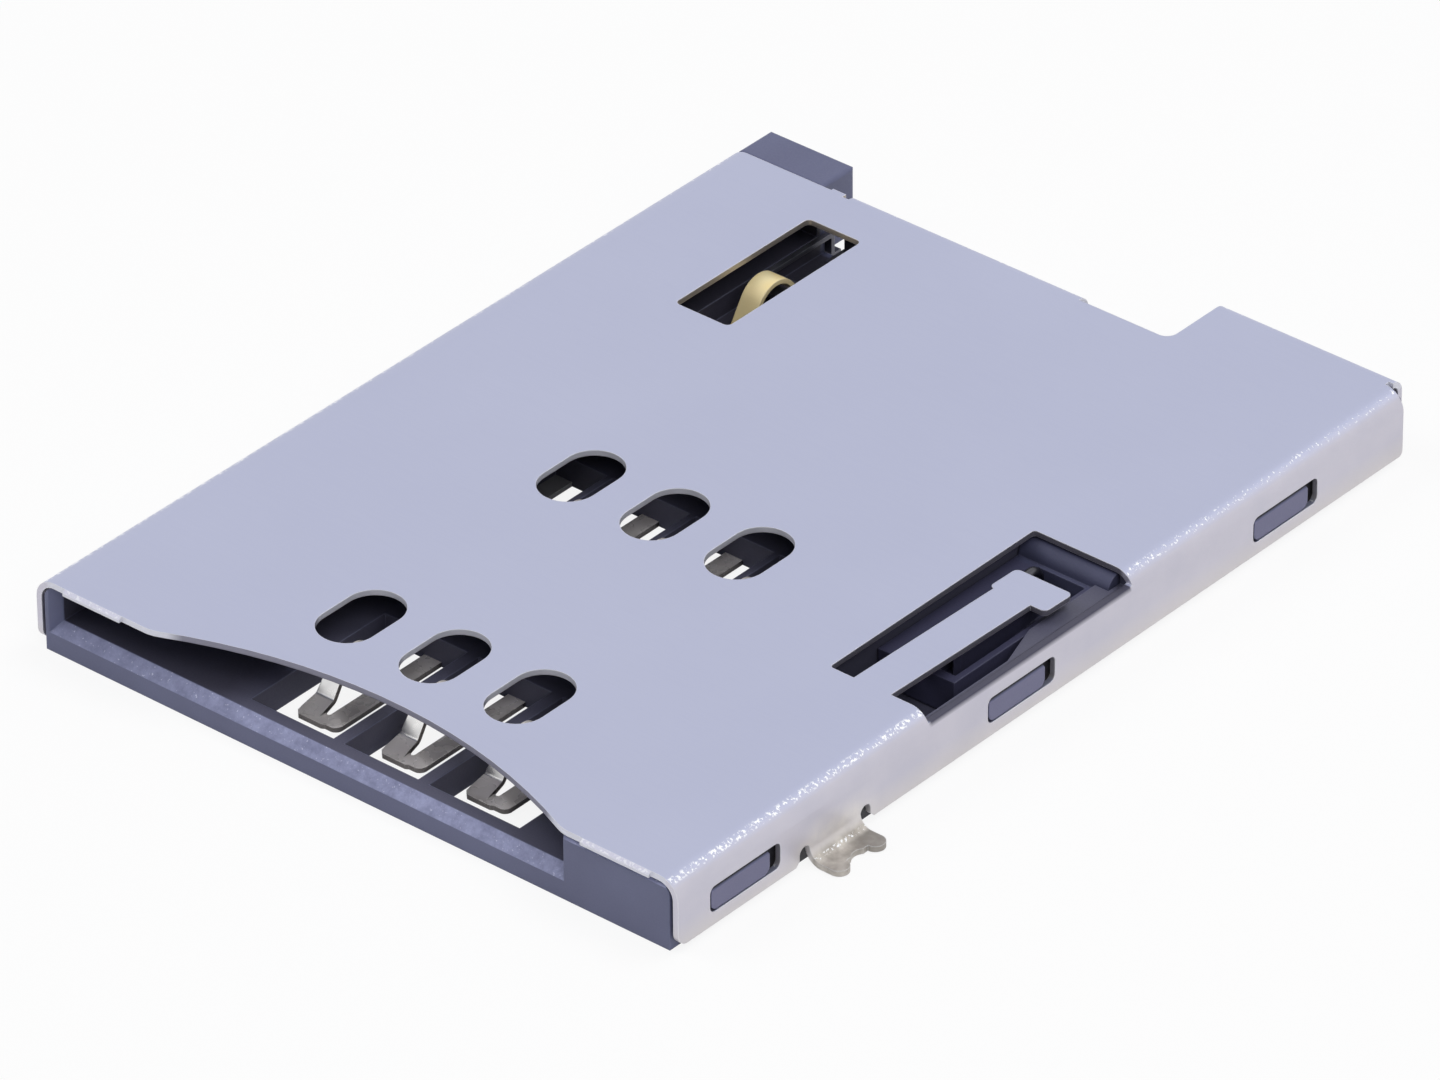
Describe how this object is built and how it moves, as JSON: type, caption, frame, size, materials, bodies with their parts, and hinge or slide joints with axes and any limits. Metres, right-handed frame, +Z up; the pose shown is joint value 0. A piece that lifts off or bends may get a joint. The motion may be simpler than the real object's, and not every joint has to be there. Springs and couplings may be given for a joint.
{
  "type": "card socket",
  "caption": "Low-profile surface-mount card socket: stamped metal cover over a moulded housing, sprung contacts, push-push eject slider and a card-detect switch.",
  "frame": {"origin": "middle of the housing's front edge, on the seating plane that rests on the board", "axes": "+Y the way the card goes in, +Z up from the board, +X to the side of the slider channel"},
  "size_m": [0.021, 0.0275, 0.0019],
  "materials": {
    "housing_plastic": "moulded, satin",
    "cover_sheet": "nickel-plated sheet, satin",
    "contact_strip": "nickel-plated strip, satin",
    "gold_strip": "gold-plated strip, polished",
    "slider_plastic": "moulded, matte",
    "pin_wire": "bright drawn wire",
    "spring_wire": "drawn spring wire"
  },
  "bodies": {
    "socket": {"housing": "housing_plastic", "cover_shell": "cover_sheet", "contact_c1": "contact_strip", "contact_c2": "contact_strip", "contact_c3": "contact_strip", "contact_c5": "contact_strip", "contact_c6": "contact_strip", "contact_c7": "contact_strip", "switch_blade": "gold_strip", "switch_contact": "contact_strip"},
    "slider": {"cam_slider": "slider_plastic", "return_spring": "spring_wire"},
    "cam_pin": {"cam_pin": "pin_wire"}
  },
  "joints": [
    {"name": "slider_travel", "type": "slide", "parent": "socket", "child": "slider", "axis": [0, 1, 0], "range_m": [0, 0.0041], "stiffness_N_per_m": 100, "springref_m": -0.002, "deforming": ["return_spring"]},
    {"name": "pin_swing", "type": "hinge", "parent": "socket", "child": "cam_pin", "pos_m": [0.00781, 0.0082, 0.001], "axis": [0, 0, -1], "range_deg": [0, 7.7]}
  ]
}
